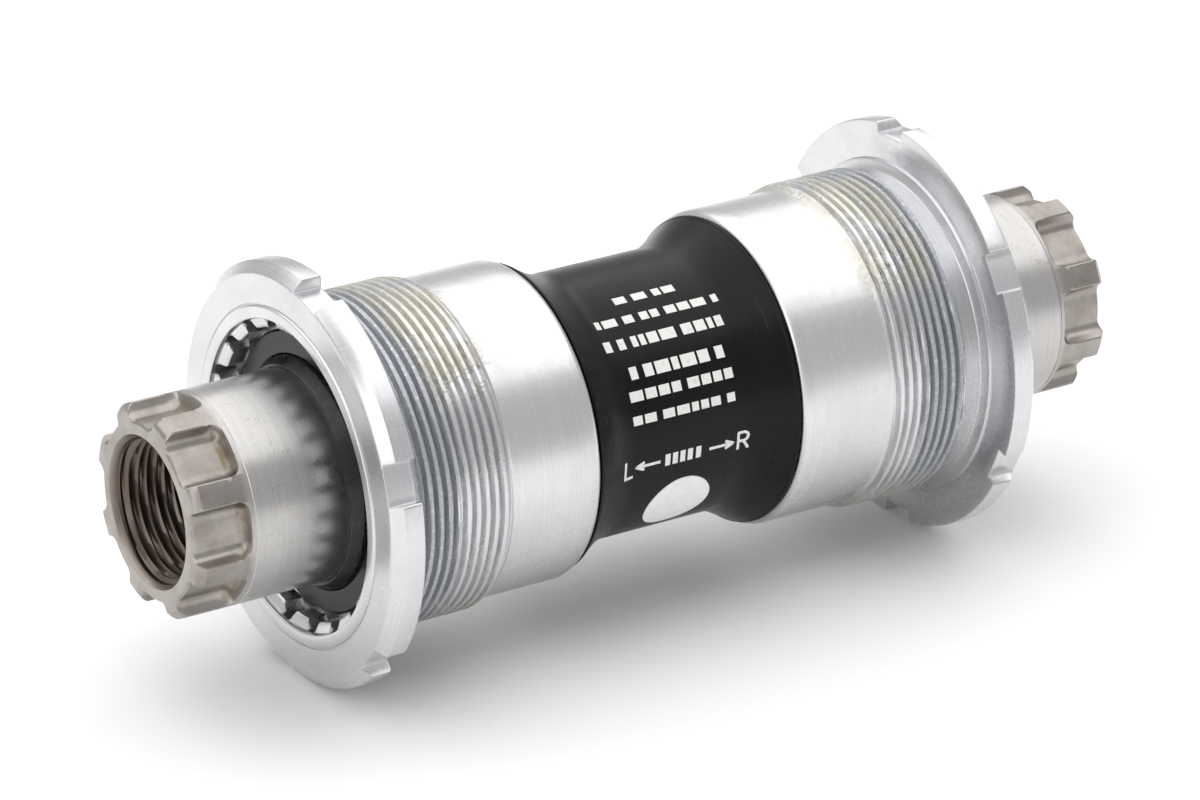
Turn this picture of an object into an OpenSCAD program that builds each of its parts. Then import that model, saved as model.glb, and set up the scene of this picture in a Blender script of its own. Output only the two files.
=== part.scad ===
// Splined cartridge bottom bracket.
// X is the spindle axis, left side at -X, right side at +X, and the origin is the mid-point.
// Angles are measured about X, from -Y towards +Z.

/* [Frame shell] */
// Width of the frame shell the two flanges close on
shell_width = 68; // [56:0.5:100]
// Major radius of the shell thread on each adapter
thread_radius = 17.4; // [17:0.1:20]
// Length of the threaded band on each adapter
thread_length = 10.9; // [8:0.1:14]
// Depth of one adapter inside the shell
adapter_depth = 21.9; // [20:0.1:26]
// Mean distance that the flanges stand off the shell faces
stand_off = 1.2; // [0.6:0.1:3]
// Extra stand-off of the left flange, taken from the right one
left_extra = 0.6; // [0:0.1:1]

/* [Flange] */
// Outer radius of the flange
flange_radius = 22; // [18.5:0.1:28]
// Thickness of the flange
flange_thickness = 3.2; // [2.5:0.1:5]
// Number of tool notches round the rim
notch_count = 6; // [5:1:12]
// Width of one rim notch
notch_width = 4.3; // [3:0.1:6]
// Depth of one rim notch
notch_depth = 1.2; // [0.8:0.05:3]
// Angle of the first notch on the left flange
left_notch_angle = 18.3; // [0:0.1:60]
// Angle of the first notch on the right flange
right_notch_angle = 33.9; // [0:0.1:60]
// Number of internal tool spline grooves
tool_spline_count = 20; // [16:1:24]
// Width of one internal tool spline groove
tool_groove_width = 1.7; // [1:0.1:2.4]
// Radius at the tips of the internal tool splines
tool_tip_radius = 15.1; // [14.9:0.1:15.6]
// Radius at the floor of the internal tool splines
tool_floor_radius = 16.2; // [15.8:0.1:16.8]
// Angle of the first internal tool spline groove
tool_spline_angle = 13.2; // [0:0.1:18]
// Outer radius of the raised lip round the bore
lip_radius = 17.6; // [17.2:0.1:18.4]

/* [Spindle] */
// Overall length of the hollow spindle
spindle_length = 109.5; // [103:0.5:132]
// Radius of the ground journal and of the spline lands
spindle_radius = 11; // [10:0.1:12]
// Radius of the plain bore between the tapped ends
spindle_bore_radius = 6.5; // [5.5:0.1:6.9]
// Radius of the tapped bore that takes a crank bolt
bolt_bore_radius = 7; // [6.6:0.1:8]
// Depth of the tapped bore from the end face
bolt_bore_depth = 20; // [12:0.5:25]
// Number of crank splines at each end
spline_count = 8; // [6:1:10]
// Length of the crank splines
spline_length = 5.75; // [4:0.05:10]
// Width of one crank spline land
spline_width = 2.6; // [2:0.1:4]
// Floor radius between the crank splines
spline_floor_radius = 9.3; // [8.8:0.1:10]
// Angle of the first crank spline
spline_angle = 27.6; // [0:0.1:45]

/* [Bearings] */
// Diameter of one needle roller
needle_diameter = 2; // [1.5:0.1:2.4]
// Length of one needle roller
needle_length = 9.8; // [7:0.1:12]
// Number of needle rollers on each side
needle_count = 22; // [16:1:24]
// Diameter of one bearing ball
ball_diameter = 2.38; // [1.98:0.01:2.6]
// Number of balls on each side
ball_count = 20; // [14:1:22]
// Radial play of a rolling element against each track
rolling_clearance = 0.02; // [0.01:0.01:0.1]
// Wall of the needle outer race
race_wall = 1.2; // [1:0.05:1.6]
// Gap between two parts that are pressed together
press_gap = 0.01; // [0.01:0.01:0.05]
// Gap left between parts that turn past each other
free_gap = 0.32; // [0.3:0.01:0.5]

/* [Seals] */
// Thickness of the dust cap disc
cap_thickness = 1.2; // [0.8:0.1:2]
// Radial width of the seal collar on the spindle
seal_width = 1.02; // [0.8:0.01:1.4]
// Running gap between the seal collar and the spindle
seal_clearance = 0.05; // [0.01:0.01:0.1]
// Section radius of the sleeve rings
oring_section = 0.48; // [0.4:0.01:0.6]

/* [Sleeve] */
// Outer radius of the sleeve between its flares
sleeve_radius = 14; // [13.6:0.1:16]
// Outer radius of the sleeve where it meets an adapter
flare_radius = 16.2; // [15:0.1:16.6]
// Wall of the sleeve
sleeve_wall = 1.4; // [1:0.1:2]
// Length of the plug that enters an adapter
plug_length = 3.3; // [2.6:0.1:3.3]
// Radius of the round inspection label
label_radius = 3.8; // [2:0.1:5]
// Film of glue left under the label
label_glue = 0.03; // [0.02:0.01:0.1]

/* [Hidden] */
$fn = 96;

// Axial stations on one side, all counted outwards from the mid-point
shell_face = shell_width / 2;
seat_x = shell_face + 1.4;
cap_out = seat_x + cap_thickness;
adapter_in = shell_face - adapter_depth;
plug_out = adapter_in + plug_length;
race_in = plug_out + 0.1;
race_out = race_in + needle_length + 3.2;
needle_mid = (race_in + race_out) / 2;
ball_x = race_out + 2.1;
cup_in = ball_x - 1.95;
cup_out = ball_x + 1.95;
cone_in = ball_x - 1.6;
cone_out = ball_x + 1.8;
nut_in = cone_out + 0.1;
nut_out = nut_in + 1.9;
seal_in = cap_out - cap_thickness - 0.5;
seal_out = cap_out + 1.4;
thread_out = shell_face - 0.5;
thread_in = thread_out - thread_length;
end_x = spindle_length / 2;
spline_in = end_x - spline_length;

// Radii that follow from the bearing fits
needle_radius = needle_diameter / 2;
needle_pitch = spindle_radius + rolling_clearance + needle_radius;
race_bore = needle_pitch + needle_radius + rolling_clearance;
race_outer = race_bore + race_wall;
adapter_bore = race_outer + press_gap;
body_radius = thread_radius - 0.7;
groove_radius = ball_diameter / 2 + rolling_clearance;
cone_bore = spindle_radius + press_gap;
ball_pitch = cone_bore + 0.37 + groove_radius;
cone_outer = ball_pitch - 0.65;
cup_bore = ball_pitch + 0.65;
ball_cage_in = cone_outer + free_gap;
ball_cage_out = cup_bore - free_gap;
cage_in = needle_pitch - 0.62;
cage_out = needle_pitch + 0.58;
lip_bore = needle_pitch + 0.2;
plug_radius = race_outer;
sleeve_bore = plug_radius - sleeve_wall - 0.24;
mid_bore = min(sleeve_bore, sleeve_radius - sleeve_wall);
oring_pitch = adapter_bore - press_gap - oring_section;
oring_x = adapter_in + 1.7;
seal_bore = spindle_radius + seal_clearance;
seal_outer = seal_bore + seal_width;
cap_bore = seal_outer + press_gap;
cap_radius = adapter_bore + 0.39;
flare_in = adapter_in * 0.52;
label_x = -0.3;
label_angle = -33;
flare_steps = 10;
eps = 0.05;

// Steel, aluminium, rubber and plastic shades
silver = [0.80, 0.81, 0.82];
steel = [0.62, 0.61, 0.58];
black = [0.07, 0.07, 0.08];
grey = [0.22, 0.21, 0.23];
brass = [0.70, 0.58, 0.32];

// Turn a profile of [radius, x] points about the spindle axis
module turned(points) {
    rotate([0, 90, 0])
    rotate_extrude()
    polygon(points);
}

// Plain ring from x0 to x1
module ring(r0, r1, x0, x1) {
    turned([[r0, x0], [r1, x0], [r1, x1], [r0, x1]]);
}

// Copy a child at equal angles, the first at the given angle
module around(count, first = 0) {
    for (i = [0 : count - 1]) {
        rotate([-(first + i * 360 / count), 0, 0]) children();
    }
}

// Ring of round section used as a tool for a ball track or as an O-ring
module round_ring(pitch, section, x) {
    translate([x, 0, 0])
    rotate([0, 90, 0])
    rotate_extrude()
    translate([pitch, 0, 0])
    circle(r = section, $fn = 48);
}

// Place a child on the left side
module left_side() {
    mirror([1, 0, 0]) children();
}

module adapter(first_notch, extra) {
    flange_in = shell_face + stand_off + extra;
    flange_out = flange_in + flange_thickness;
    lip_out = flange_out + 0.2;
    color(silver)
    difference() {
        turned([
            [adapter_bore + 0.3, adapter_in],
            [body_radius - 0.7, adapter_in],
            [body_radius - 0.2, adapter_in + 0.2],
            [body_radius, adapter_in + 0.7],
            [body_radius, thread_in - 0.5],
            [thread_radius, thread_in],
            [thread_radius, thread_out - 0.5],
            [thread_radius - 0.45, thread_out - 0.2],
            [thread_radius - 0.45, flange_in - 0.5],
            [thread_radius + 0.6, flange_in - 0.4],
            [thread_radius + 0.6, flange_in],
            [flange_radius - 0.3, flange_in],
            [flange_radius, flange_in + 0.3],
            [flange_radius, flange_out - 1],
            [flange_radius - notch_depth, flange_out],
            [lip_radius, flange_out],
            [lip_radius - 0.2, lip_out],
            [tool_floor_radius + 0.2, lip_out],
            [tool_floor_radius, lip_out - 0.2],
            [tool_floor_radius, lip_out - 0.5],
            [tool_tip_radius, lip_out - 0.9],
            [tool_tip_radius, seat_x + 0.6],
            [tool_floor_radius, seat_x + 0.6],
            [tool_floor_radius, seat_x],
            [adapter_bore, seat_x],
            [adapter_bore, adapter_in + 0.3]
        ]);
        around(notch_count, first_notch)
            translate([flange_in - 1, -flange_radius - 2, -notch_width / 2])
            cube([flange_thickness + 2, notch_depth + 2, notch_width]);
        around(tool_spline_count, tool_spline_angle)
            translate([seat_x + 0.3, -tool_floor_radius, -tool_groove_width / 2])
            cube([lip_out - seat_x + 1, 3, tool_groove_width]);
    }
}

module left_adapter() {
    left_side() adapter(left_notch_angle, left_extra);
}

module right_adapter() {
    adapter(right_notch_angle, -left_extra);
}

// Smooth outer radius of the sleeve at a share of the flare, 0 at the middle and 1 at the adapter
function flare(share) = sleeve_radius + (flare_radius - sleeve_radius) * (1 - cos(90 * share));

// Outline of the outer face of one half of the sleeve
function flare_points(side) = [
    for (i = [0 : flare_steps])
    let (share = side > 0 ? i / flare_steps : 1 - i / flare_steps)
    [flare(share), side * (flare_in + (adapter_in - 0.1 - flare_in) * share)]
];

module center_sleeve() {
    color(black)
    difference() {
        turned(concat(
            [[mid_bore, -plug_out], [plug_radius - 0.3, -plug_out], [plug_radius, -plug_out + 0.3],
                [plug_radius, -adapter_in + 0.1]],
            flare_points(-1),
            flare_points(1),
            [[plug_radius, adapter_in - 0.1], [plug_radius, plug_out - 0.3],
                [plug_radius - 0.3, plug_out], [mid_bore, plug_out]]
        ));
        for (side = [-1, 1]) {
            ring(oring_pitch - oring_section - press_gap, plug_radius + 1,
                side * oring_x - oring_section - 0.1, side * oring_x + oring_section + 0.1);
        }
    }
}

module needle_race() {
    color(steel)
    turned([
        [lip_bore, race_in],
        [race_outer - 0.4, race_in],
        [race_outer, race_in + 0.4],
        [race_outer, race_out - 0.4],
        [race_outer - 0.4, race_out],
        [lip_bore, race_out],
        [lip_bore, race_out - 0.6],
        [race_bore, race_out - 0.6],
        [race_bore, race_in + 0.6],
        [lip_bore, race_in + 0.6]
    ]);
}

module left_needle_race() {
    left_side() needle_race();
}

module right_needle_race() {
    needle_race();
}

module ball_cup() {
    color(steel)
    difference() {
        ring(cup_bore, race_outer, cup_in, cup_out);
        round_ring(ball_pitch, groove_radius, ball_x);
    }
}

module left_ball_cup() {
    left_side() ball_cup();
}

module right_ball_cup() {
    ball_cup();
}

module dust_cap() {
    color(grey)
    turned([
        [cap_bore, seat_x + press_gap],
        [race_outer - 0.65, seat_x + press_gap],
        [race_outer - 0.65, seat_x - 1.6],
        [race_outer - 0.15, seat_x - 1.6],
        [race_outer, seat_x - 1.4],
        [race_outer, seat_x + press_gap],
        [cap_radius, seat_x + press_gap],
        [cap_radius, cap_out - 0.25],
        [cap_radius - 0.25, cap_out],
        [cap_bore + 0.15, cap_out],
        [cap_bore, cap_out - 0.15]
    ]);
}

module left_dust_cap() {
    left_side() dust_cap();
}

module right_dust_cap() {
    dust_cap();
}

module lip_seal() {
    color(black)
    turned([
        [seal_bore + 0.3, seal_in],
        [seal_outer + 0.8, seal_in],
        [seal_outer + 0.8, seat_x - 0.02],
        [seal_outer, seat_x - 0.02],
        [seal_outer, cap_out],
        [seal_outer - 0.12, cap_out + 0.35],
        [seal_bore + 0.3, seal_out],
        [seal_bore, seal_out - 0.05],
        [seal_bore, seal_out - 0.9],
        [seal_bore + 0.3, cap_out - 0.2]
    ]);
}

module left_lip_seal() {
    left_side() lip_seal();
}

module right_lip_seal() {
    lip_seal();
}

module sleeve_ring() {
    color(black)
    round_ring(oring_pitch, oring_section, oring_x);
}

module left_sleeve_ring() {
    left_side() sleeve_ring();
}

module right_sleeve_ring() {
    sleeve_ring();
}

module inspection_label() {
    color([0.93, 0.93, 0.92])
    intersection() {
        ring(sleeve_radius + label_glue, sleeve_radius + label_glue + 0.1, label_x - label_radius - 1,
            label_x + label_radius + 1);
        rotate([-label_angle, 0, 0])
        translate([label_x, 0, 0])
        rotate([90, 0, 0])
        cylinder(h = sleeve_radius + 3, r = label_radius);
    }
}

module crank_spline_cut() {
    difference() {
        ring(spline_floor_radius, spindle_radius + 1, spline_in, end_x + 1);
        around(spline_count, spline_angle)
            translate([spline_in - 1, -spindle_radius - 2, -spline_width / 2])
            cube([spline_length + 3, spindle_radius - spline_floor_radius + 4, spline_width]);
    }
}

module spindle() {
    color(steel)
    difference() {
        turned([
            [bolt_bore_radius + 0.9, -end_x],
            [spindle_radius - 0.8, -end_x],
            [spindle_radius, -end_x + 0.8],
            [spindle_radius, end_x - 0.8],
            [spindle_radius - 0.8, end_x],
            [bolt_bore_radius + 0.9, end_x],
            [bolt_bore_radius, end_x - 0.9],
            [bolt_bore_radius, end_x - bolt_bore_depth],
            [spindle_bore_radius, end_x - bolt_bore_depth - 0.4],
            [spindle_bore_radius, -end_x + bolt_bore_depth + 0.4],
            [bolt_bore_radius, -end_x + bolt_bore_depth],
            [bolt_bore_radius, -end_x + 0.9]
        ]);
        crank_spline_cut();
        left_side() crank_spline_cut();
    }
}

module bearing_cone() {
    color(steel)
    difference() {
        ring(cone_bore, cone_outer, cone_in, cone_out);
        round_ring(ball_pitch, groove_radius, ball_x);
    }
}

module left_bearing_cone() {
    left_side() bearing_cone();
}

module right_bearing_cone() {
    bearing_cone();
}

module left_lock_nut() {
    color(steel)
    left_side()
    difference() {
        ring(cone_bore, cone_outer + 0.6, nut_in, nut_out);
        around(4)
            translate([nut_in + 0.6, -cone_outer - 1.2, -1])
            cube([3, 1, 2]);
    }
}

module right_retaining_ring() {
    color(steel)
    difference() {
        ring(cone_bore, cone_outer + 0.5, nut_in, nut_out - 0.6);
        translate([nut_in - 1, -cone_outer - 2, -1.2])
        cube([4, 5, 2.4]);
    }
}

module needle_cage() {
    color(brass)
    difference() {
        ring(cage_in, cage_out, race_in + 1, race_out - 1);
        around(needle_count)
            translate([needle_mid - needle_length / 2 - 0.1, -cage_out - 1, -needle_radius - 0.06])
            cube([needle_length + 0.2, cage_out - cage_in + 2, needle_diameter + 0.12]);
    }
}

module needles() {
    color(steel)
    around(needle_count)
        translate([needle_mid - needle_length / 2, -needle_pitch, 0])
        rotate([0, 90, 0])
        cylinder(h = needle_length, r = needle_radius, $fn = 32);
}

module left_needle_cage() {
    left_side() needle_cage();
}

module right_needle_cage() {
    needle_cage();
}

module left_needles() {
    left_side() needles();
}

module right_needles() {
    needles();
}

module ball_cage() {
    color(brass)
    difference() {
        ring(ball_cage_in, ball_cage_out, ball_x - 1.65, ball_x + 1.65);
        around(ball_count)
            translate([ball_x, -ball_cage_in + 2, 0])
            rotate([90, 0, 0])
            cylinder(h = 5, r = ball_diameter / 2 + 0.04, $fn = 48);
    }
}

module balls() {
    color(steel)
    around(ball_count)
        translate([ball_x, -ball_pitch, 0])
        sphere(r = ball_diameter / 2, $fn = 48);
}

module left_ball_cage() {
    left_side() ball_cage();
}

module right_ball_cage() {
    ball_cage();
}

module left_balls() {
    left_side() balls();
}

module right_balls() {
    balls();
}

left_adapter();
right_adapter();
center_sleeve();
left_needle_race();
right_needle_race();
left_ball_cup();
right_ball_cup();
left_dust_cap();
right_dust_cap();
left_lip_seal();
right_lip_seal();
left_sleeve_ring();
right_sleeve_ring();
inspection_label();
spindle();
left_bearing_cone();
left_lock_nut();
right_bearing_cone();
right_retaining_ring();
left_needle_cage();
left_needles();
right_needle_cage();
right_needles();
left_ball_cage();
left_balls();
right_ball_cage();
right_balls();
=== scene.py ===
import math
from functools import partial

import bpy
import numpy as np
from bpy.props import FloatProperty, FloatVectorProperty, PointerProperty
from bpy.types import Operator, Panel, PropertyGroup
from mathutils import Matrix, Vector


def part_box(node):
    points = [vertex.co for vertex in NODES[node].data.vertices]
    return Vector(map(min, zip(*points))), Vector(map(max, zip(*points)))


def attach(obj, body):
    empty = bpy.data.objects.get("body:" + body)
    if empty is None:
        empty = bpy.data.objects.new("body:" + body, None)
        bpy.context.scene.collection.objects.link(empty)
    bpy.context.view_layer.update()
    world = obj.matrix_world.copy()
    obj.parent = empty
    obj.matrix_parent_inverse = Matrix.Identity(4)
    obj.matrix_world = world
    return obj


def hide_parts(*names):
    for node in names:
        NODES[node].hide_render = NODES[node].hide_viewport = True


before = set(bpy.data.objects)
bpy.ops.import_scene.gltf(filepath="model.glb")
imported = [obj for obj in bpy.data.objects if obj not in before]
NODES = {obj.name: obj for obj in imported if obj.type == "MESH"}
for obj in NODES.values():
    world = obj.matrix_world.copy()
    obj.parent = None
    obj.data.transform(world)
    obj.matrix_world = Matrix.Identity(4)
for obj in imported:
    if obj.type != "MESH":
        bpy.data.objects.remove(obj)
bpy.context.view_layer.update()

bl_info = {
    "name": "Bottom bracket builder",
    "version": (1, 0, 0),
    "blender": (4, 5, 0),
    "location": "View3D > Sidebar > Bracket",
    "description": "Builds the visible pieces of a splined cartridge bottom bracket",
    "category": "Object",
}

MM = 0.001


# ---------------------------------------------------------------- colours

def srgb(code):
    """Linear RGBA of an sRGB hex colour such as "8A8C90"."""
    part = np.array([int(code[i:i + 2], 16) for i in (0, 2, 4)]) / 255
    linear = np.where(part <= 0.04045, part / 12.92, ((part + 0.055) / 1.055) ** 2.4)
    return (*[float(v) for v in linear], 1.0)


# ---------------------------------------------------------------- sizes from the frame

def span(node):
    """Lowest and highest corner of a CAD node, in millimetres."""
    low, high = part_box(node)
    return [v / MM for v in low], [v / MM for v in high]


_left, _right = span("left_adapter"), span("right_adapter")
LIP_OUT = {-1: -_left[0][0], 1: _right[1][0]}
ADAPTER_IN = _right[0][0]
FLANGE_R = _right[1][1]
END_X = span("spindle")[1][0]
CAP_OUT = span("right_dust_cap")[1][0]
PLUG_OUT = span("center_sleeve")[1][0]
SEAT_X = CAP_OUT - 1.2
FLARE_IN = ADAPTER_IN * 0.52

# Sizes in millimetres and angles in degrees that the frame does not hold; -1 is the left side and 1 the right
SHOULDER_X = END_X - 5.75
JOURNAL_R = 11.0
BORE_R = 14.25
BODY_R = 16.7
WAIST_R, FLARE_R = 14.0, 16.2
SLEEVE_BORE_R = 12.6
FLANGE_THICK = 3.2
NOTCH_DEPTH, NOTCH_HALF, NOTCH_MID_R = 1.2, 2.15, 21.4
NOTCH_STEP, NOTCH_ANGLE = 60, {-1: 18.3, 1: 33.9}
TOOL_TIP_R, TOOL_FLOOR_R = 15.1, 16.2
TOOL_STEP, TOOL_ANGLE = 18, 13.2
LAND_STEP, LAND_ANGLE, LAND_HALF = 45, 27.6, 1.3
POCKET_FLOOR_R, POCKET_HALF_ARC = 9.3, 2.9
THREAD_END = {-1: 33.4, 1: 32.2}
BOLT_ROOT_R, BOLT_CREST_R, BOLT_DEPTH = 7.5, 7.0, 20.0
SPINDLE_BORE_R = 6.5
COMPOUND_BELT = {-1: (29.3, 34.9), 1: (27.0, 31.3)}
COMPOUND_EDGE = 4.2


# ---------------------------------------------------------------- meshes

def around_x(x, r, phi):
    """Points (x, -r cos phi, r sin phi): x along the spindle axis, r from it, phi in radians from -Y to +Z."""
    return np.stack([x, -r * np.cos(phi), r * np.sin(phi)], -1) * MM


def wrapped_quads(rows, cols, closed_rows=True):
    """Quads of a grid of points, joined round its columns, and over its rows unless told not to."""
    i = np.arange(rows if closed_rows else rows - 1)[:, None]
    j = np.arange(cols)[None, :]
    a = i * cols + j
    b = i * cols + (j + 1) % cols
    c = ((i + 1) % rows) * cols + (j + 1) % cols
    d = ((i + 1) % rows) * cols + j
    return np.stack(np.broadcast_arrays(a, b, c, d), -1).reshape(-1, 4)


def volume(points, quads):
    """Signed volume inside a closed quad mesh, a sixth of the sum of its corner triple products."""
    p = points[quads]
    first = np.einsum("ij,ij->i", p[:, 0], np.cross(p[:, 1], p[:, 2]))
    second = np.einsum("ij,ij->i", p[:, 0], np.cross(p[:, 2], p[:, 3]))
    return float((first + second).sum() / 6)


def put_mesh(name, points, quads, material, body, stands_for=(), sharp=32.0):
    """Makes an object of the points and quads, shaded smooth between faces that meet under the sharp angle."""
    points = np.asarray(points, float).reshape(-1, 3)
    if volume(points, quads) < 0:
        quads = quads[:, ::-1]
    quads = np.ascontiguousarray(quads)
    mesh = bpy.data.meshes.new(name)
    mesh.vertices.add(len(points))
    mesh.vertices.foreach_set("co", points.astype(np.float32).ravel())
    mesh.loops.add(quads.size)
    mesh.loops.foreach_set("vertex_index", quads.astype(np.int32).ravel())
    mesh.polygons.add(len(quads))
    mesh.polygons.foreach_set("loop_start", np.arange(0, quads.size, 4, dtype=np.int32))
    mesh.update(calc_edges=True)
    mesh.validate()
    mesh.shade_smooth()
    mesh.set_sharp_from_angle(angle=math.radians(sharp))
    mesh.materials.append(material)
    piece = bpy.data.objects.new(name, mesh)
    bpy.context.scene.collection.objects.link(piece)
    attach(piece, body)
    if stands_for:
        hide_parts(*stands_for)
    return piece


def smooth(t):
    """Smooth step 3t^2 - 2t^3 of t held to 0 and 1."""
    t = np.clip(t, 0, 1)
    return t * t * (3 - 2 * t)


def thread_wave(phase):
    """Rounded V thread form: 0 at a root and 1 at a crest, one turn for each whole phase."""
    tri = 1 - np.abs(2 * (phase % 1.0) - 1)
    return smooth(tri * 1.16 - 0.08)


# ---------------------------------------------------------------- materials

MATH, RANGE, MIX = "ShaderNodeMath", "ShaderNodeMapRange", "ShaderNodeMix"
MAPPING, NOISE, BUMP = "ShaderNodeMapping", "ShaderNodeTexNoise", "ShaderNodeBump"
EVEN = (1, 1, 1)
METAL = (("Metallic", 1.0),)


def add_node(tree, kind, inputs=(), output=0, **settings):
    """Adds a node with its settings, sets or links its inputs, by socket or in order, and returns one output.

    A map range takes its inputs in the order value, from low, from high, to low, to high.
    """
    made = tree.nodes.new(kind)
    for key, value in settings.items():
        setattr(made, key, value)
    for key, value in inputs.items() if isinstance(inputs, dict) else enumerate(inputs):
        if isinstance(value, bpy.types.NodeSocket):
            tree.links.new(value, made.inputs[key])
        else:
            made.inputs[key].default_value = value
    return made.outputs[output] if made.outputs else None


def new_material(name, patterns):
    """Node material with its noise patterns: returns it, its shader, its node adder and its sockets by name.

    Each pattern is (size of a feature in mm, stretch along X, Y and Z, detail, roughness), in Object coordinates.
    """
    material = bpy.data.materials.new(name)
    material.use_nodes = True
    tree = material.node_tree
    tree.nodes.clear()
    add = partial(add_node, tree)
    surface = add("ShaderNodeBsdfPrincipled")
    add("ShaderNodeOutputMaterial", {"Surface": surface})
    at = {"place": add("ShaderNodeTexCoord", output="Object")}
    for key, (size_mm, stretch, detail, rough) in patterns.items():
        scale = [1 / (size_mm * MM * share) for share in stretch]
        mapped = add(MAPPING, {"Vector": at["place"], "Scale": scale})
        at[key] = add(NOISE, {"Vector": mapped, "Scale": 1.0, "Detail": detail, "Roughness": rough})
    return material, surface.node.inputs, add, at


def finish_material(material, shader, tone, dull, normal=None, uniform=()):
    """Links a material's tone, roughness and normal to its shader, and sets its uniform sockets."""
    links = material.node_tree.links
    links.new(tone, shader["Base Color"])
    links.new(dull, shader["Roughness"])
    if normal is not None:
        links.new(normal, shader["Normal"])
    for socket, value in uniform:
        shader[socket].default_value = value
    return material


def axis_sockets(add, place):
    """Distance along the spindle axis, height above it and distance from it, in metres."""
    along, across, height = (add("ShaderNodeSeparateXYZ", (place,), number) for number in range(3))
    flat = add("ShaderNodeCombineXYZ", {"Y": across, "Z": height})
    return along, height, add("ShaderNodeVectorMath", (flat,), "Value", operation="LENGTH")


def band(add, value, low, high, soft):
    """1 where value lies between low and high, falling to 0 over the soft width outside."""
    up = add(RANGE, (value, low - soft, low))
    down = add(RANGE, (value, high, high + soft, 1.0, 0.0))
    return add(MATH, (up, down), operation="MULTIPLY")


def anodised_aluminium(side, metal):
    """Turned and satin anodised aluminium of one adapter, with old thread compound and dried clear film."""
    # Turning leaves fine rings round the axis, and anodising makes the shine soft and faintly mottled
    material, shader, add, at = new_material(
        "turned_satin_anodised_aluminium_" + ("left" if side < 0 else "right"), {
            "rings": (0.16, (1, 160, 160), 2.0, 0.7), "cloud": (5.0, EVEN, 4.0, 0.6),
            "grit": (0.35, EVEN, 3.0, 0.7), "streak": (1.1, (0.35, 5, 5), 3.0, 0.6),
            "patch": (4.5, (1.3, 1, 1), 5.0, 0.7), "wrinkle": (0.55, EVEN, 2.0, 0.5)})
    x, height, r = axis_sockets(add, at["place"])
    along = add(MATH, (x, float(side)), operation="MULTIPLY")
    ring_tone = add(RANGE, (at["rings"], 0.35, 0.65, 0.45, 1.0))
    tone = add(MIX, {0: ring_tone, 6: srgb("CFD0D2"), 7: metal}, 2, data_type="RGBA")
    cloudy = add(RANGE, (at["cloud"], 0.45, 0.75, 0.0, 0.25))
    tone = add(MIX, {0: cloudy, 6: tone, 7: srgb("BBBCBE")}, 2, data_type="RGBA")

    # Thread compound is a speckled blue-grey belt with a ragged edge, duller than the metal
    on_thread = band(add, r, 16.4 * MM, 17.6 * MM, 0.1 * MM)
    ragged = add(MATH, (at["streak"], 0.5), operation="SUBTRACT")
    ragged = add(MATH, (ragged, COMPOUND_EDGE * MM), operation="MULTIPLY")
    wet = add(MATH, (along, ragged), operation="ADD")
    low, high = COMPOUND_BELT[side]
    belt = band(add, wet, low * MM, high * MM, 0.6 * MM)
    speckle = add(RANGE, (at["grit"], 0.30, 0.50, 0.25, 1.0))
    lock = add(MATH, (belt, speckle), operation="MULTIPLY")
    lock = add(MATH, (lock, on_thread), operation="MULTIPLY")
    lock = add(MATH, (lock, 0.8), operation="MULTIPLY")
    tone = add(MIX, {0: lock, 6: tone, 7: srgb("A9ACB2")}, 2, data_type="RGBA")

    # Clear film dried at the top and bottom of the thread gives a faint yellow tint and a wrinkled shine
    from_middle = add(MATH, (height,), operation="ABSOLUTE")
    outer = add(RANGE, (from_middle, 9.5 * MM, 12.0 * MM))
    film = add(MATH, (add(RANGE, (at["patch"], 0.44, 0.52)), outer), operation="MULTIPLY")
    film = add(MATH, (film, band(add, along, 22.8 * MM, 29.5 * MM, 1.6 * MM)), operation="MULTIPLY")
    film = add(MATH, (film, on_thread), operation="MULTIPLY")
    film = add(MATH, (film, add(RANGE, (at["grit"], 0.2, 0.5, 0.5, 1.0))), operation="MULTIPLY")
    tint = add(MATH, (film, 0.65), operation="MULTIPLY")
    tone = add(MIX, {0: tint, 6: tone, 7: srgb("CCC9BA")}, 2, data_type="RGBA")

    dull = add(RANGE, (at["cloud"], 0.35, 0.7, 0.22, 0.30))
    for part in (add(RANGE, (at["grit"], 0.3, 0.7, 0.0, 0.08)),
                 add(MATH, (lock, 0.30), operation="MULTIPLY"),
                 add(MATH, (film, 0.12), operation="MULTIPLY")):
        dull = add(MATH, (dull, part), operation="ADD")
    wrinkled = add(MATH, (film, at["wrinkle"]), operation="MULTIPLY")
    grainy = add(MATH, (lock, at["grit"]), operation="MULTIPLY")
    normal = add(BUMP, {"Height": at["rings"], "Distance": 0.0012 * MM, "Strength": 0.5})
    normal = add(BUMP, {"Height": wrinkled, "Distance": 0.12 * MM, "Strength": 0.8, "Normal": normal})
    normal = add(BUMP, {"Height": grainy, "Distance": 0.05 * MM, "Strength": 0.7, "Normal": normal})
    return finish_material(material, shader, tone, dull, normal, METAL)


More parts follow.
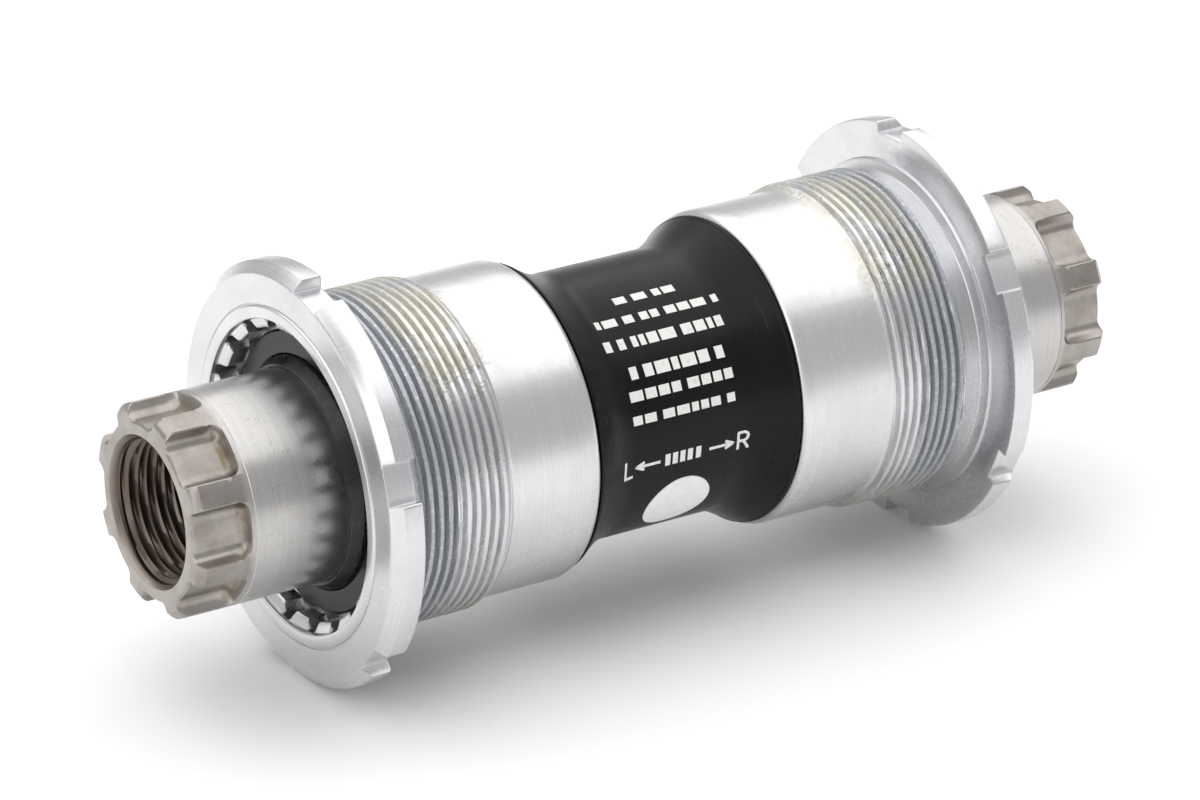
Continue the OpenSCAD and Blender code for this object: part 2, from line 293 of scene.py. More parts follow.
def ground_steel(metal):
    """Ground and hardened steel of the spindle."""
    # Grinding leaves close bright rings and the splines are duller and browner; the inside of the bore is painted
    # dark brown as shade
    material, shader, add, at = new_material("ground_hardened_steel", {
        "rings": (0.12, (1, 200, 200), 2.0, 0.7), "cloud": (3.0, EVEN, 4.0, 0.6),
        "scratch": (0.5, (0.25, 12, 12), 2.0, 0.5), "swirl": (2.6, (1.5, 1, 1), 3.0, 0.6)})
    x, _, r = axis_sockets(add, at["place"])
    along = add(MATH, (x,), operation="ABSOLUTE")
    ring_tone = add(RANGE, (at["rings"], 0.35, 0.65, 0.3, 1.0))
    tone = add(MIX, {0: ring_tone, 6: srgb("B9B7B4"), 7: metal}, 2, data_type="RGBA")
    scratched = add(RANGE, (at["scratch"], 0.66, 0.74, 0.0, 0.4))
    tone = add(MIX, {0: scratched, 6: tone, 7: srgb("8A8886")}, 2, data_type="RGBA")
    # Hairlines of dried film
    hair = add(MATH, (band(add, at["swirl"], 0.497, 0.503, 0.004),
                      add(RANGE, (at["cloud"], 0.45, 0.6, 0.0, 0.45))), operation="MULTIPLY")
    tone = add(MIX, {0: hair, 6: tone, 7: srgb("8E8A84")}, 2, data_type="RGBA")
    splines = add(RANGE, (along, (SHOULDER_X - 0.6) * MM, (SHOULDER_X + 0.4) * MM))
    brown = add(MIX, {0: add(RANGE, (at["cloud"], 0.4, 0.65)), 6: srgb("A19A93"), 7: srgb("8B837A")}, 2,
                data_type="RGBA")
    browned = add(MATH, (splines, 0.8), operation="MULTIPLY")
    tone = add(MIX, {0: browned, 6: tone, 7: brown}, 2, data_type="RGBA")
    # Painted shade: everything inside the tapped bore, under 7.6 to 8 mm from the axis, is painted dark brown
    inside = add(MATH, (add(RANGE, (r, 7.6 * MM, 8.0 * MM, 1.0, 0.0)), 0.85), operation="MULTIPLY")
    tone = add(MIX, {0: inside, 6: tone, 7: srgb("5C4F46")}, 2, data_type="RGBA")
    # A brown line of oil dried in the root of each pocket shoulder
    oil = add(MATH, (band(add, along, (SHOULDER_X + 0.25) * MM, (SHOULDER_X + 0.75) * MM, 0.25 * MM),
                     band(add, r, 8.5 * MM, 10.4 * MM, 0.3 * MM)), operation="MULTIPLY")
    oil = add(MATH, (oil, add(RANGE, (at["cloud"], 0.4, 0.6, 0.2, 0.8))), operation="MULTIPLY")
    tone = add(MIX, {0: oil, 6: tone, 7: srgb("6E6344")}, 2, data_type="RGBA")
    dull = add(MATH, (add(RANGE, (at["cloud"], 0.35, 0.7, 0.27, 0.34)),
                      add(MATH, (splines, 0.05), operation="MULTIPLY")), operation="ADD")
    normal = add(BUMP, {"Height": at["rings"], "Distance": 0.0012 * MM, "Strength": 0.6})
    return finish_material(material, shader, tone, dull, normal, METAL)


def cloudy_material(name, size_mm, tones, tone_range, dulls, dull_range, uniform=()):
    """Material of two mottled tones whose roughness follows the same mottle, with features of size_mm."""
    material, shader, add, at = new_material(name, {"cloud": (size_mm, EVEN, 3.0, 0.55)})
    mottle = add(RANGE, (at["cloud"], *tone_range))
    tone = add(MIX, {0: mottle, 6: tones[0], 7: tones[1]}, 2, data_type="RGBA")
    dull = add(RANGE, (at["cloud"], *dull_range, *dulls))
    return finish_material(material, shader, tone, dull, uniform=uniform)


def bearing_steel():
    """Polished bearing steel: a mirror shine, clouded by a thin film of grease."""
    return cloudy_material("polished_bearing_steel", 1.5, (srgb("B5B6B8"), srgb("9C9A90")), (0.4, 0.7),
                           (0.10, 0.22), (0.3, 0.7), uniform=METAL)


def stamped_brass():
    """Stamped brass of the roller and ball cages: a warm, soft shine with darker tarnish."""
    return cloudy_material("stamped_tarnished_brass", 1.2, (srgb("C7A55A"), srgb("8F7440")), (0.4, 0.7),
                           (0.25, 0.42), (0.3, 0.7), uniform=METAL)


def seal_rubber():
    """Moulded nitrile rubber: black, with an oily half shine."""
    return cloudy_material("moulded_nitrile_rubber", 1.2, (srgb("0C0C0D"), srgb("141315")), (0.4, 0.7),
                           (0.22, 0.40), (0.35, 0.7))


def screen_ink(colour):
    """Screen-printed white ink: matt, and slightly greyer where it is worn thin."""
    return cloudy_material("screen_printed_white_ink", 0.5, (colour, srgb("D2D1CE")), (0.55, 0.72),
                           (0.4, 0.6), (0.3, 0.7))


def label_film():
    """White vinyl label film: a clean white with a weak shine."""
    return cloudy_material("white_vinyl_label_film", 1.0, (srgb("F4F4F2"), srgb("ECEBE8")), (0.45, 0.75),
                           (0.3, 0.45), (0.3, 0.7))


def sleeve_plastic(colour):
    """Moulded glass-filled nylon of the sleeve."""
    # Moulding gives a satin black with a very fine grain, and handling leaves pale scuffs
    material, shader, add, at = new_material("moulded_black_nylon", {
        "grain": (0.22, EVEN, 3.0, 0.55), "cloud": (6.0, EVEN, 4.0, 0.55), "scuff": (0.9, (0.2, 8, 8), 2.0, 0.55)})
    tone = add(MIX, {0: add(RANGE, (at["cloud"], 0.4, 0.7)), 6: colour, 7: srgb("110E0F")}, 2, data_type="RGBA")
    scuffed = add(RANGE, (at["scuff"], 0.66, 0.74, 0.0, 0.3))
    tone = add(MIX, {0: scuffed, 6: tone, 7: srgb("3A383B")}, 2, data_type="RGBA")
    dull = add(RANGE, (at["cloud"], 0.35, 0.7, 0.24, 0.34))
    normal = add(BUMP, {"Height": at["grain"], "Distance": 0.006 * MM, "Strength": 0.6})
    return finish_material(material, shader, tone, dull, normal, (("Specular IOR Level", 0.2),))


def cap_plastic():
    """Moulded acetal of the dust caps."""
    # Moulding gives a dark violet grey with a gloss that varies in rings round the axis
    material, shader, add, at = new_material("moulded_gloss_acetal", {"cloud": (2.4, EVEN, 3.0, 0.55)})
    ring_place = add("ShaderNodeCombineXYZ", {"X": axis_sockets(add, at["place"])[2]})
    mapped = add(MAPPING, {"Vector": ring_place, "Scale": [1 / (0.3 * MM)] * 3})
    rings = add(NOISE, {"Vector": mapped, "Scale": 1.0, "Detail": 2.0, "Roughness": 0.55})
    tone = add(MIX, {0: add(RANGE, (at["cloud"], 0.4, 0.7)), 6: srgb("151218"), 7: srgb("0F0D12")}, 2,
               data_type="RGBA")
    dull = add(RANGE, (rings, 0.3, 0.7, 0.14, 0.28))
    return finish_material(material, shader, tone, dull, uniform=(("Specular IOR Level", 0.25),))


def stage_paint(colour):
    """Matt painted studio floor: an even near-white with no shine."""
    material, shader, add, at = new_material("matt_white_stage_paint", {"cloud": (400.0, EVEN, 2.0, 0.55)})
    even = add(RANGE, (at["cloud"], 0.3, 0.7, 0.0, 0.03))
    tone = add(MIX, {0: even, 6: colour, 7: srgb("F4F4F4")}, 2, data_type="RGBA")
    material.node_tree.links.new(tone, shader["Base Color"])
    shader["Roughness"].default_value = 0.9
    return material


# ---------------------------------------------------------------- shapes

def notch_warp(phi, r, first):
    """Makes radial notch walls parallel: half angle asin(NOTCH_HALF / r) in place of the one at NOTCH_MID_R."""
    step = math.radians(NOTCH_STEP)
    off = (phi - first + step / 2) % step - step / 2
    h0 = math.asin(NOTCH_HALF / NOTCH_MID_R)
    h = np.arcsin(NOTCH_HALF / np.clip(r, 19.0, 23.0))
    inner = off * h / h0
    outer = np.sign(off) * (h + (np.abs(off) - h0) * (step / 2 - h) / (step / 2 - h0))
    return phi - off + np.where(np.abs(off) <= h0, inner, outer)


def thread_form(phase):
    """Shell thread: narrow rounded roots between broad crests, 0 at a root and 1 at a crest."""
    tri = 1 - np.abs(2 * (phase % 1.0) - 1)
    return smooth(tri * 1.75 - 0.12)


def adapter_shape(side, pitch, depth):
    """Closed ring surface of (profile row, angle): a helical thread, a notched flange and a toothed bore."""
    first = math.radians(NOTCH_ANGLE[side])
    h0 = math.asin(NOTCH_HALF / NOTCH_MID_R)
    corner = np.array([-0.3, -0.12, -0.035, 0.035, 0.12, 0.3])
    edge = corner / NOTCH_MID_R
    notch_cols = (first + math.radians(NOTCH_STEP) * np.arange(360 // NOTCH_STEP)[:, None, None]
                  + np.array([-1, 1])[:, None] * (h0 + edge)).ravel()
    # Degrees from the middle of a gap between two tool teeth, from its floor to the tips
    gap = [1.7, 2.15, 2.5, 3.9, 4.2, 4.6]
    turn = math.radians(TOOL_ANGLE)
    gap_cols = (turn + math.radians(TOOL_STEP) * np.arange(360 // TOOL_STEP)[:, None, None]
                + np.array([-1, 1])[:, None] * np.radians(gap)).ravel()
    base = np.arange(240) * 2 * np.pi / 240
    special = np.concatenate([notch_cols, gap_cols]) % (2 * np.pi)
    near = np.abs((base[:, None] - special + np.pi) % (2 * np.pi) - np.pi).min(1)
    phi = np.sort(np.concatenate([base[near > 0.006], special]))
    phi = phi[np.append(np.diff(phi) > 1e-4, True)]

    # Rim radius: the full flange, dropping by the notch depth with small rounded corners
    step = math.radians(NOTCH_STEP)
    off = np.abs((phi - first + step / 2) % step - step / 2)
    away = (off - h0) * NOTCH_MID_R
    cut = np.interp(away, corner, [1, 0.97, 0.86, 0.12, 0.02, 0])
    rim = FLANGE_R - NOTCH_DEPTH * cut
    # Bore radius: tooth tips with gaps between them
    pitch_angle = math.radians(TOOL_STEP)
    gap_off = np.degrees(np.abs((phi - turn + pitch_angle / 2) % pitch_angle - pitch_angle / 2))
    teeth = np.interp(gap_off, gap, [TOOL_FLOOR_R, 16.14, 15.95, 15.3, 15.14, TOOL_TIP_R])
    one = np.ones_like(phi)
    xs, rs, ps = [], [], []

    def row(x, r, angle=None):
        xs.append(x * one)
        rs.append(r * one)
        ps.append(phi if angle is None else angle)

    lip = LIP_OUT[side]
    face = lip - 0.2
    back = face - FLANGE_THICK
    a = ADAPTER_IN
    for x, r in ((a + 0.3, BORE_R), (a, BORE_R + 0.3), (a, BODY_R - 1.6), (a, BODY_R - 0.85),
                 (a + 0.05, BODY_R - 0.6), (a + 0.2, BODY_R - 0.3), (a + 0.45, BODY_R - 0.1),
                 (a + 0.8, BODY_R), (a + 2.5, BODY_R), (a + 5.0, BODY_R), (a + 7.5, BODY_R), (a + 9.6, BODY_R)):
        row(x, r)
    # Helical thread, rising over one turn and running out in the relief
    start, stop = a + 10.3, THREAD_END[side]
    for x in np.linspace(start, stop, int(round((stop - start) / pitch * 10))):
        fade = smooth(np.array((x - start - 0.1) / 1.1)) * smooth(np.array((stop - x) / 0.5))
        row(x, BODY_R - 0.02 + depth * thread_form((x - pitch * phi / (2 * np.pi)) / pitch) * fade)
    # Relief and the raised ring against the flange
    for x, r in ((stop + 0.12, BODY_R - 0.05), (back - 0.75, BODY_R + 0.1), (back - 0.62, BODY_R + 0.25),
                 (back - 0.5, BODY_R + 0.9), (back - 0.38, BODY_R + 1.2), (back - 0.2, BODY_R + 1.28),
                 (back - 0.03, BODY_R + 1.3), (back, BODY_R + 1.4)):
        row(x, r)

    def flange_row(x, share, drop):
        r = (BODY_R + 1.45) + (rim - drop - BODY_R - 1.45) * share
        row(x, r, notch_warp(phi, r, first) * share + phi * (1 - share))

    for share in (0.35, 0.7):
        flange_row(back, share, 0.25)
    for x, drop in ((0.0, 0.25), (0.05, 0.1), (0.16, 0.02), (0.3, 0.0), (1.2, 0.0)):
        flange_row(back + x, 1.0, drop)
    # Rim chamfer: the outer millimetre slopes to the notch floor, so a notch has none
    for x, part in ((-1.12, 0.0), (-1.0, 0.02), (-0.9, 0.1), (-0.5, 0.5), (-0.12, 0.9), (-0.03, 0.985),
                    (0.0, 1.04)):
        r = FLANGE_R - NOTCH_DEPTH * np.maximum(cut, part)
        row(face + x, r, notch_warp(phi, r, first))
    for r in (20.2, 19.4, 18.4):
        row(face, r)
    # Fine ring groove, raised lip and lead-in to the teeth
    for x, r in ((0.0, 17.78), (-0.12, 17.72), (-0.12, 17.62), (0.08, 17.56), (0.17, 17.48), (0.2, 17.38),
                 (0.2, 16.5), (0.16, 16.36), (0.04, 16.24), (-0.2, TOOL_FLOOR_R)):
        row(face + x, r)
    row(face - 0.42, np.maximum(teeth, 16.1))
    row(face - 0.72, np.maximum(teeth, 15.45))
    row(face - 0.86, np.maximum(teeth, 15.2))
    row(face - 1.0, teeth)
    row((face - 1.0 + SEAT_X + 0.8) / 2, teeth)
    row(SEAT_X + 0.8, teeth)
    row(SEAT_X + 0.72, teeth + (TOOL_FLOOR_R - teeth) * 0.12)
    row(SEAT_X + 0.66, TOOL_FLOOR_R)
    for x, r in ((SEAT_X + 0.1, TOOL_FLOOR_R), (SEAT_X, 16.1), (SEAT_X, 15.4), (SEAT_X, BORE_R + 0.08),
                 (SEAT_X - 0.08, BORE_R), (30.0, BORE_R), (24.0, BORE_R), (18.0, BORE_R)):
        row(x, r)
    x, r, p = np.array(xs), np.array(rs), np.array(ps)
    return around_x(x * side, r, p), wrapped_quads(*x.shape)


def spindle_columns():
    """Column plan for eight lands: land share u from -1 to 1 and pocket share q from 0 at a wall to 1 midway."""
    q = np.array([0.012, 0.03, 0.065, 0.11, 0.17, 0.24, 0.33, 0.48, 0.7, 0.9])
    u = np.array([-1.0, -0.9, -0.6, -0.2, 0.2, 0.6, 0.9, 1.0])
    kind = np.concatenate([np.full(len(q), -1), np.zeros(len(u)), np.full(len(q), 1)])
    share = np.concatenate([q[::-1], u, q])
    return kind, share


def spindle_shape(corner, pitch):
    """Closed ring surface of (profile row, angle): ground journal, eight lands at each end, tapped bore."""
    kind, share = spindle_columns()
    kinds, shares = np.tile(kind, 8), np.tile(share, 8)
    centre = np.radians(LAND_ANGLE + LAND_STEP * np.repeat(np.arange(8), len(kind)))
    land = kinds == 0
    edge = np.where(land, np.abs(shares), 0)
    # Depth below the journal: 0 on a land with a broken edge, full in a pocket with a small root fillet
    deep = np.where(land, np.interp(edge, [0, 0.9, 1.0], [0, 0.015, 0.12]),
                    np.interp(shares, [0.012, 0.03, 0.065, 0.11, 0.17, 0.24, 0.33],
                              [0.85, 1.05, 1.25, 1.4, 1.53, 1.63, JOURNAL_R - POCKET_FLOOR_R]))
    t = np.where(land, 0, shares * POCKET_HALF_ARC)
    curve = corner - np.sqrt(np.maximum(corner ** 2 - (corner - np.minimum(t, corner)) ** 2, 0))
    start = SHOULDER_X + curve

    def angles(r):
        wall = np.arcsin(LAND_HALF / np.clip(r, 8.5, 12))
        pocket = kinds * (wall + shares * (math.radians(LAND_STEP / 2) - wall))
        return centre + np.where(land, shares * wall, pocket)

    one = np.ones_like(centre)

    def end(sign):
        rows = []

        def row(x, r):
            r = r * one
            rows.append((sign * (x * one), r, angles(r)))

        for x in (SHOULDER_X - 4.0, SHOULDER_X - 2.0, SHOULDER_X - 0.9):
            row(x, JOURNAL_R)
        for x, drop in ((-0.62, 0), (-0.56, 0.07), (-0.46, 0.07), (-0.4, 0)):
            row(SHOULDER_X + x, JOURNAL_R - drop)
        for x, part in ((-0.12, 0.0), (-0.03, 0.02), (0.02, 0.1), (0.05, 0.36), (0.15, 0.55), (0.35, 0.74),
                        (0.6, 0.88), (0.9, 0.97), (1.2, 1.0)):
            row(start + x, JOURNAL_R - deep * part)
        for part in (0.3, 0.6, 0.9):
            row(start + 1.25 + (END_X - 0.9 - start - 1.25) * part, JOURNAL_R - deep)
        bevel = np.where(land, 0.8, 0.3)
        top = JOURNAL_R - deep
        row(END_X - bevel, top)
        row(END_X - bevel * 0.45, top - bevel * 0.45)
        row(END_X - 0.03, top - bevel * 0.95)
        row(END_X, top - bevel - 0.1)
        ring = angles(POCKET_FLOOR_R * one)
        for r in (8.7, 8.3, 8.0):
            rows.append((sign * END_X * one, r * one, ring))
        for x, r in ((-0.04, 7.9), (-0.5, 7.62)):
            rows.append((sign * (END_X + x) * one, r * one, ring))
        # Bolt thread, cut deeper than its crests and fading out at both ends
        top_x, low_x = END_X - 0.6, END_X - BOLT_DEPTH
        for x in np.linspace(top_x, low_x, int(round((top_x - low_x) / pitch * 6.5))):
            run_out = smooth(np.array((x - low_x) / 1.5))
            fade = float(smooth(np.array((top_x - x) / 0.8)) * run_out)
            wave = thread_wave((sign * x + pitch * ring / (2 * np.pi)) / pitch)
            r = BOLT_ROOT_R - (BOLT_ROOT_R - BOLT_CREST_R) * wave * fade - 0.2 * (1 - run_out)
            rows.append((sign * x * one, r, ring))
        rows.append((sign * (low_x - 0.2) * one, BOLT_CREST_R * one, ring))
        rows.append((sign * (low_x - 0.6) * one, SPINDLE_BORE_R * one, ring))
        return rows

    right, left = end(1), end(-1)[::-1]
    middle = [(x * one, JOURNAL_R * one, angles(JOURNAL_R * one)) for x in (-40, -30, -15, 0, 15, 30, 40)]
    rows = middle + right + left
    x, r, p = (np.array([row[i] for row in rows]) for i in range(3))
    return around_x(x, r, p), wrapped_quads(*x.shape)


def turned_shape(profile, columns=256):
    """Ring surface of a closed (x, r) profile carried round the spindle axis."""
    profile = np.asarray(profile, float)
    phi = np.arange(columns) * 2 * np.pi / columns
    x = np.repeat(profile[:, :1], columns, 1)
    r = np.repeat(profile[:, 1:], columns, 1)
    return around_x(x, r, np.broadcast_to(phi, x.shape)), wrapped_quads(*x.shape)


def sleeve_radius(x):
    """Outer radius of the sleeve: the waist, then a quarter cosine out to the flare."""
    share = np.clip((np.abs(x) - FLARE_IN) / (ADAPTER_IN - 0.45 - FLARE_IN), 0, 1)
    return WAIST_R + (FLARE_R - WAIST_R) * (1 - np.cos(np.pi / 2 * share))


def sleeve_profile():
    """Closed outline of the sleeve: waist, quarter-cosine flare, and a plug in each adapter bore."""
    a = ADAPTER_IN
    x = np.linspace(FLARE_IN, a - 0.45, 26)
    outer = np.stack([x, sleeve_radius(x)], 1)
    half = np.array([
        (0.0, WAIST_R), (a * 0.25, WAIST_R), *outer, (a - 0.42, FLARE_R + 0.06), (a - 0.2, FLARE_R + 0.1),
        (a - 0.12, FLARE_R + 0.02), (a - 0.1, FLARE_R - 0.1), (a - 0.1, BORE_R + 0.2), (a - 0.02, BORE_R - 0.02),
        (PLUG_OUT - 0.3, BORE_R - 0.02), (PLUG_OUT, BORE_R - 0.3), (PLUG_OUT, SLEEVE_BORE_R)])
    other = half[::-1] * [-1, 1]
    return np.concatenate([half, other[:-1]])


def ribbon(stroke, width):
    """Flat printed stroke: a line of (x, arc) points in millimetres widened to both sides and laid on the
    sleeve, as a box whose corner points are inner left, inner right, outer right, outer left."""
    line = np.asarray(stroke, float)
    length = np.append(0, np.cumsum(np.hypot(*np.diff(line, axis=0).T)))
    count = max(2, int(length[-1] / 0.22) + 1)
    at = np.unique(np.concatenate([np.linspace(0, length[-1], count), length]))
    point = np.stack([np.interp(at, length, line[:, i]) for i in (0, 1)], 1)
    run = np.gradient(point, axis=0)
    run /= np.hypot(run[:, 0], run[:, 1])[:, None] + 1e-9
    off = np.stack([-run[:, 1], run[:, 0]], 1) * width / 2
    corners = []
    for sign, lift in ((-1, 0.012), (1, 0.012), (1, 0.05), (-1, 0.05)):
        p = point + sign * off
        corners.append(around_x(p[:, 0], sleeve_radius(p[:, 0]) + lift, p[:, 1] / WAIST_R))
    points = np.stack(corners, 1).reshape(-1, 3)
    rows = len(point)
    quads = wrapped_quads(rows, 4, closed_rows=False)
    ends = np.array([[3, 2, 1, 0], [0, 1, 2, 3]]) + np.array([[0], [4 * (rows - 1)]])
    quads = np.concatenate([quads, ends])
    return points, (quads if volume(points, quads) > 0 else quads[:, ::-1])


def joined(parts):
    """One mesh from several (points, quads) pairs."""
    offset = np.cumsum([0] + [len(p) for p, _ in parts[:-1]])
    return np.concatenate([p for p, _ in parts]), np.concatenate([q + o for (_, q), o in zip(parts, offset)])


# Rows of plain bars: angle of the row's middle in degrees, left end, right end and height in millimetres
PRINT_ROWS = ((67.5, -3.8, 3.4, 1.5), (57.3, -7.4, 7.2, 1.5), (46.8, -7.6, 7.4, 1.9),
              (33.8, -5.8, 5.4, 2.1), (24.3, -6.5, 5.8, 1.7), (14.3, -6.6, 5.6, 1.5))
# Strokes of each sign in a unit box
GLYPHS = {
    "L": (((0, 1), (0, 0), (0.55, 0)),),
    "R": (((0, 0), (0, 1), (0.4, 1), (0.58, 0.9), (0.62, 0.75), (0.55, 0.58), (0.4, 0.5), (0, 0.5)),
          ((0.32, 0.5), (0.64, 0))),
    "<": (((1.0, 0.5), (0.0, 0.5)), ((0.34, 0.72), (0.0, 0.5), (0.34, 0.28))),
    ">": (((0.0, 0.5), (1.0, 0.5)), ((0.66, 0.72), (1.0, 0.5), (0.66, 0.28))),
}


def print_shape():
    """Printed marks on the sleeve: six rows of plain bars, then a left arrow, a size bar and a right arrow."""
    parts = []
    rng = np.random.default_rng(7)
    for angle, left, right, tall in PRINT_ROWS:
        arc = math.radians(angle) * WAIST_R
        x = left
        while x < right - 0.5:
            wide = min(float(rng.uniform(0.6, 1.9)), right - x)
            parts.append(ribbon([(x, arc), (x + wide, arc)], tall * 0.62))
            x += wide + float(rng.choice([0.3, 0.3, 0.8]))
    base = math.radians(-6.1) * WAIST_R - 0.95
    tall = 1.9
    for sign, x, wide in (("L", -7.9, 1.9), ("<", -6.5, 2.9), (">", 2.3, 2.9), ("R", 5.8, 1.9)):
        for stroke in GLYPHS[sign]:
            line = [(x + px * wide, base + py * tall) for px, py in stroke]
            parts.append(ribbon(line, 0.3))
    for x in (-3.0, -2.1, -1.2, -0.3, 0.7):
        parts.append(ribbon([(x, base + 0.95), (x + 0.6, base + 0.95)], 1.3))
    return joined(parts)


# ---------------------------------------------------------------- settings

class AdapterSettings(PropertyGroup):
    """Sizes and colour of the two shell adapters."""
    pitch: FloatProperty(name="Thread pitch", description="Distance between shell thread crests, in mm",
                         default=1.058, min=0.5, max=2.0)
    depth: FloatProperty(name="Thread depth", description="Height of a shell thread crest, in mm",
                         default=0.68, min=0.2, max=1.0)
    metal: FloatVectorProperty(name="Metal", description="Bright tone of the aluminium", subtype="COLOR", size=4,
                               default=srgb("DBDBDC"), min=0, max=1)


class SpindleSettings(PropertyGroup):
    """Sizes and colour of the spindle."""
    corner: FloatProperty(name="Pocket corner", description="Corner radius of a spline pocket, in mm",
                          default=1.1, min=0.3, max=2.0)
    pitch: FloatProperty(name="Bolt thread pitch", description="Distance between bolt thread crests, in mm",
                         default=1.0, min=0.5, max=2.0)
    metal: FloatVectorProperty(name="Metal", description="Bright tone of the ground steel", subtype="COLOR",
                               size=4, default=srgb("C6C4C2"), min=0, max=1)


class SleeveSettings(PropertyGroup):
    """Colours of the sleeve and its print."""
    nylon: FloatVectorProperty(name="Nylon", description="Colour of the sleeve", subtype="COLOR", size=4,
                               default=srgb("0B0909"), min=0, max=1)
    ink: FloatVectorProperty(name="Ink", description="Colour of the printed marks", subtype="COLOR", size=4,
                             default=srgb("E6E5E2"), min=0, max=1)


class StageSettings(PropertyGroup):
    """Floor, lights and camera."""
    floor: FloatVectorProperty(name="Floor", description="Colour of the floor", subtype="COLOR", size=4,
                               default=srgb("FAFAFA"), min=0, max=1)
    power: FloatProperty(name="Light", description="Strength of the soft lights", default=1.0, min=0.1, max=5.0)
    lens: FloatProperty(name="Lens", description="Focal length of the camera, in mm", default=183.14,
                        min=50, max=400)


SETTINGS = {"bracket_adapter": AdapterSettings, "bracket_spindle": SpindleSettings,
            "bracket_sleeve": SleeveSettings, "bracket_stage": StageSettings}


# ---------------------------------------------------------------- operators

def dress(material, *names):
    """Gives CAD nodes a material."""
    for name in names:
        node = NODES[name]
        node.data.materials.clear()
        node.data.materials.append(material)


class BRACKET_OT_adapters(Operator):
    """Make both threaded shell adapters"""
    bl_idname = "bracket.adapters"
    bl_label = "Adapters"

    def execute(self, context):
        made = context.scene.bracket_adapter
        for side, name in ((-1, "left_adapter"), (1, "right_adapter")):
            points, quads = adapter_shape(side, made.pitch, made.depth)
            put_mesh(name + "_turned", points, quads, anodised_aluminium(side, tuple(made.metal)),
                     "cartridge", (name,))
        return {"FINISHED"}


class BRACKET_OT_spindle(Operator):
    """Make the hollow splined spindle"""
    bl_idname = "bracket.spindle"
    bl_label = "Spindle"

    def execute(self, context):
        made = context.scene.bracket_spindle
        points, quads = spindle_shape(made.corner, made.pitch)
        put_mesh("spindle_ground", points, quads, ground_steel(tuple(made.metal)), "spindle",
                 ("spindle",))
        return {"FINISHED"}


class BRACKET_OT_sleeve(Operator):
    """Make the moulded sleeve and its printed marks"""
    bl_idname = "bracket.sleeve"
    bl_label = "Sleeve"

    def execute(self, context):
        made = context.scene.bracket_sleeve
        points, quads = turned_shape(sleeve_profile())
        put_mesh("center_sleeve_moulded", points, quads, sleeve_plastic(tuple(made.nylon)), "cartridge",
                 ("center_sleeve",))
        points, quads = print_shape()
        put_mesh("sleeve_print", points, quads, screen_ink(tuple(made.ink)), "cartridge")
        dress(label_film(), "inspection_label")
        return {"FINISHED"}


class BRACKET_OT_seals(Operator):
    """Finish the dust caps, lip seals and sleeve rings"""
    bl_idname = "bracket.seals"
    bl_label = "Caps and seals"

    def execute(self, context):
        dress(cap_plastic(), "left_dust_cap", "right_dust_cap")
        dress(seal_rubber(), "left_lip_seal", "right_lip_seal", "left_sleeve_ring", "right_sleeve_ring")
        return {"FINISHED"}


class BRACKET_OT_bearings(Operator):
    """Finish the bearing parts inside the cartridge"""
    bl_idname = "bracket.bearings"
    bl_label = "Bearings"

    def execute(self, context):
        dress(bearing_steel(), "left_needle_race", "right_needle_race", "left_ball_cup", "right_ball_cup",
              "left_bearing_cone", "right_bearing_cone", "left_lock_nut", "right_retaining_ring",
              "left_needles", "right_needles", "left_balls", "right_balls")
        dress(stamped_brass(), "left_needle_cage", "right_needle_cage", "left_ball_cage", "right_ball_cage")
        return {"FINISHED"}


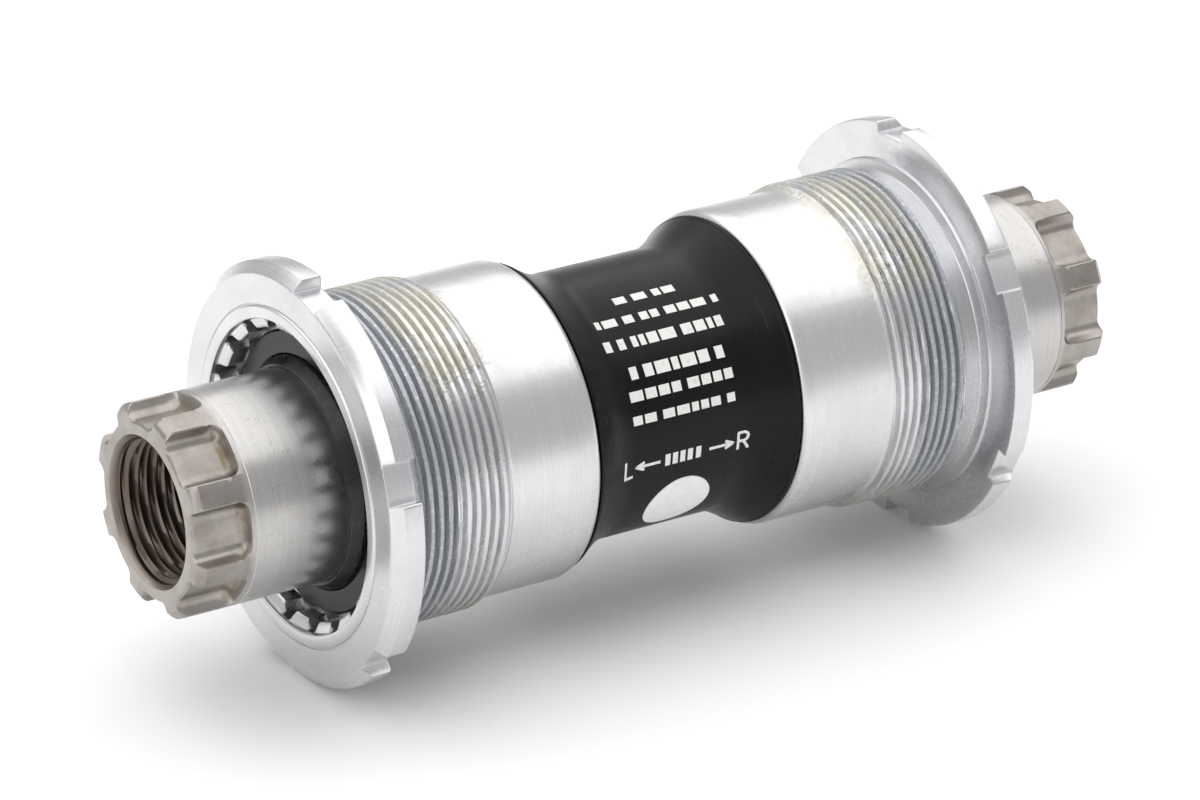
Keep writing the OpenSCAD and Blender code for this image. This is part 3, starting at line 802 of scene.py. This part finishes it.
class BRACKET_OT_stage(Operator):
    """Make the floor, the soft lights and the camera"""
    bl_idname = "bracket.stage"
    bl_label = "Stage"

    def execute(self, context):
        made = context.scene.bracket_stage
        low = -FLANGE_R * MM
        half = 6.0
        corners = [(-half, -half, low), (half, -half, low), (half, half, low), (-half, half, low)]
        mesh = bpy.data.meshes.new("floor")
        mesh.from_pydata(corners, [], [(0, 1, 2, 3)])
        mesh.materials.append(stage_paint(tuple(made.floor)))
        floor = bpy.data.objects.new("floor", mesh)
        context.scene.collection.objects.link(floor)

        world = bpy.data.worlds.new("studio")
        world.use_nodes = True
        background = world.node_tree.nodes["Background"]
        background.inputs["Color"].default_value = srgb("E9E9EA")
        background.inputs["Strength"].default_value = 0.72
        context.scene.world = world
        context.scene.view_settings.view_transform = "Standard"

        def soft_light(name, place, aim, size_x, size_y, watts):
            lamp = bpy.data.lights.new(name, "AREA")
            lamp.shape = "RECTANGLE"
            lamp.size, lamp.size_y = size_x, size_y
            lamp.energy = watts * made.power
            made_light = bpy.data.objects.new(name, lamp)
            made_light.location = place
            made_light.rotation_euler = (Vector(aim) - Vector(place)).to_track_quat("-Z", "Y").to_euler()
            context.scene.collection.objects.link(made_light)

        soft_light("top_softbox", (0.0, 0.25, 0.95), (0, 0.1, 0), 2.6, 2.2, 19.5)
        soft_light("left_softbox", (-1.1, -0.25, 0.4), (0, 0, 0), 0.5, 0.7, 1.7)

        camera = bpy.data.cameras.new("camera")
        camera.lens = made.lens
        camera.sensor_width = 36
        camera.clip_start = 0.01
        holder = bpy.data.objects.new("camera", camera)
        holder.location = (-0.3080, -0.4857, 0.2521)
        holder.rotation_euler = (math.radians(66.27), 0, math.radians(-32.21))
        context.scene.collection.objects.link(holder)
        context.scene.camera = holder
        return {"FINISHED"}


class BRACKET_PT_panel(Panel):
    """Sidebar panel of the bracket builder"""
    bl_label = "Bracket"
    bl_idname = "BRACKET_PT_panel"
    bl_space_type = "VIEW_3D"
    bl_region_type = "UI"
    bl_category = "Bracket"

    def draw(self, context):
        for name, settings in SETTINGS.items():
            for key in settings.__annotations__:
                self.layout.prop(getattr(context.scene, name), key)
        for operator in OPERATORS:
            self.layout.operator(operator.bl_idname)


OPERATORS = (BRACKET_OT_adapters, BRACKET_OT_spindle, BRACKET_OT_sleeve, BRACKET_OT_seals,
             BRACKET_OT_bearings, BRACKET_OT_stage)


def register():
    for name, settings in SETTINGS.items():
        bpy.utils.register_class(settings)
        setattr(bpy.types.Scene, name, PointerProperty(type=settings))
    for made in (*OPERATORS, BRACKET_PT_panel):
        bpy.utils.register_class(made)


def unregister():
    for made in reversed((*OPERATORS, BRACKET_PT_panel)):
        bpy.utils.unregister_class(made)
    for name, settings in SETTINGS.items():
        delattr(bpy.types.Scene, name)
        bpy.utils.unregister_class(settings)


def main():
    register()
    bpy.ops.bracket.adapters()
    bpy.ops.bracket.spindle()
    bpy.ops.bracket.sleeve()
    bpy.ops.bracket.seals()
    bpy.ops.bracket.bearings()
    bpy.ops.bracket.stage()


if __name__ == "__main__":
    main()
